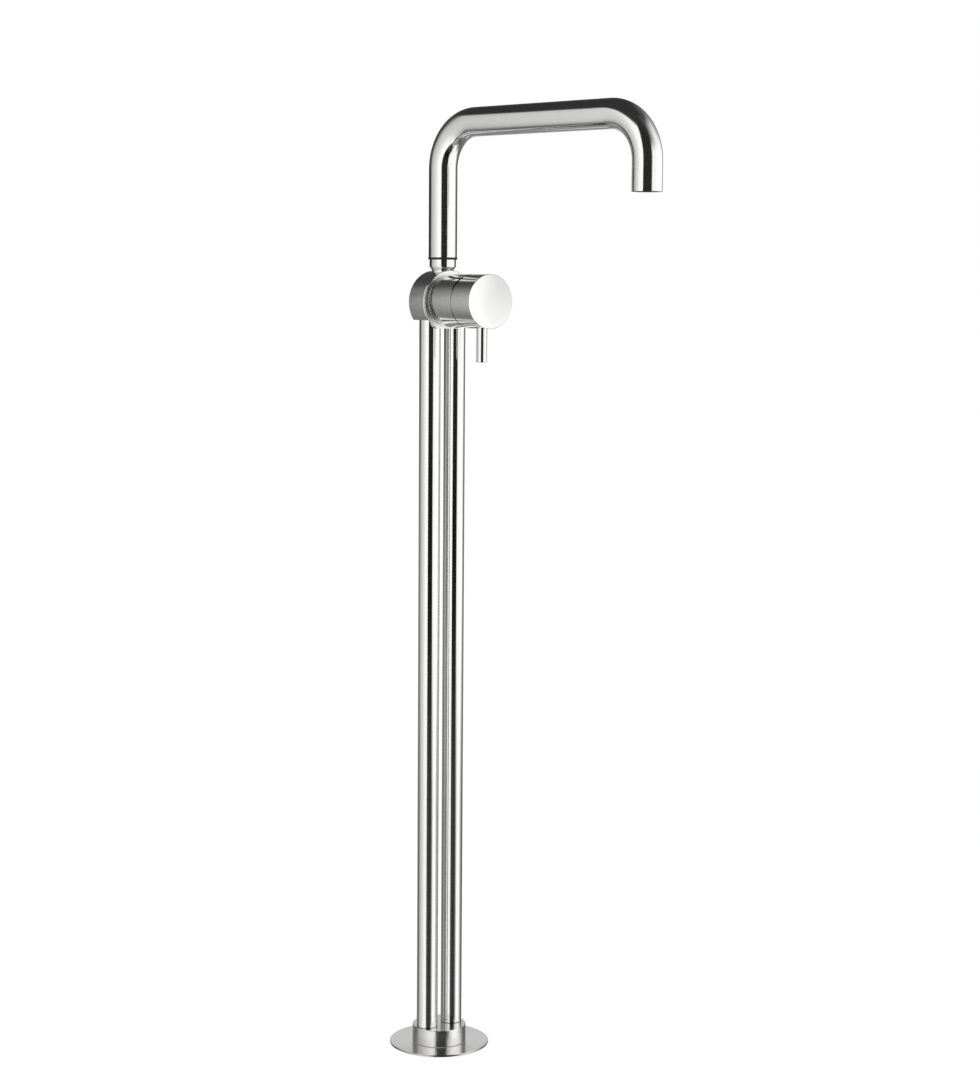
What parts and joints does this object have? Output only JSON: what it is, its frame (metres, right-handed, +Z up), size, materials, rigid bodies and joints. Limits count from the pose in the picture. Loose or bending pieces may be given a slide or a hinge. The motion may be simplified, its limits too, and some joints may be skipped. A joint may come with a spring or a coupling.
{
  "type": "floor-standing basin mixer",
  "caption": "Floor-standing basin mixer: two supply tubes on a round floor plate, a round valve body with a side lever handle, and a swivelling bent tube spout.",
  "frame": {"origin": "centre of the floor plate's underside, on the floor", "axes": "+Z up, the handle points to -Y, the hot pipe stands at -X and the cold pipe at +X"},
  "size_m": [0.123, 0.3658, 1.0689],
  "materials": {
    "tube_steel": "bright stainless steel tube with a fine grain round it",
    "spout_steel": "bright stainless steel tube with a fine grain round it",
    "plate_steel": "satin stainless steel sheet",
    "collar_steel": "bright turned stainless steel",
    "body_steel": "satin turned stainless steel",
    "ring_steel": "bright turned stainless steel",
    "cap_steel": "satin turned stainless steel with a faced front",
    "neck_steel": "bright turned stainless steel",
    "screw_steel": "plain steel",
    "brass": "turned brass, unplated",
    "black_rubber": "black rubber",
    "clear_rubber": "clear silicone rubber",
    "black_plastic": "black moulded plastic",
    "grey_plastic": "grey moulded plastic",
    "white_plastic": "white moulded plastic",
    "ceramic": "lapped white ceramic"
  },
  "bodies": {
    "stand": {"floor_plate": "plate_steel", "floor_seal": "black_rubber", "plate_screws": "screw_steel", "base_collar": "collar_steel", "collar_seal": "clear_rubber", "hot_pipe": "tube_steel", "cold_pipe": "tube_steel", "hot_inlet": "brass", "cold_inlet": "brass", "hot_union": "brass", "cold_union": "brass", "union_orings": "black_rubber", "valve_body": "body_steel", "face_ring": "ring_steel", "sleeve": "body_steel", "cartridge_base": "grey_plastic", "base_seals": "black_rubber", "cartridge_housing": "white_plastic", "fixed_disc": "ceramic", "retaining_nut": "brass", "spout_nipple": "neck_steel", "spout_orings": "black_rubber", "slide_ring": "black_plastic"},
    "guide": {"turning_guide": "white_plastic", "pivot_pin": "screw_steel"},
    "handle": {"spindle": "screw_steel", "handle_cap": "cap_steel", "grub_screw": "screw_steel", "lever_pin": "tube_steel"},
    "disc": {"moving_disc": "ceramic", "disc_carrier": "grey_plastic"},
    "spout": {"spout_tube": "spout_steel", "spout_socket": "brass", "stop_screw": "screw_steel", "aerator_seat": "brass", "aerator": "black_plastic", "aerator_washer": "black_rubber"}
  },
  "joints": [
    {"name": "handle_turn", "type": "hinge", "parent": "stand", "child": "guide", "pos_m": [0, 0, 0.857], "axis": [0, -1, 0], "range_deg": [-50, 50]},
    {"name": "handle_lift", "type": "hinge", "parent": "guide", "child": "handle", "pos_m": [0, -0.04485, 0.857], "axis": [-1, 0, 0], "range_deg": [0, 7]},
    {"name": "disc_slide", "type": "slide", "parent": "guide", "child": "disc", "axis": [0, 0, -1], "range_m": [0, 0.0022]},
    {"name": "spout_swivel", "type": "hinge", "parent": "stand", "child": "spout", "pos_m": [0, 0, 0.905], "axis": [0, 0, 1], "range_deg": [-69.7, 50.3]}
  ],
  "couplings": [
    {"joint": "disc_slide", "follows": "handle_lift", "m_per_rad": 0.018}
  ]
}
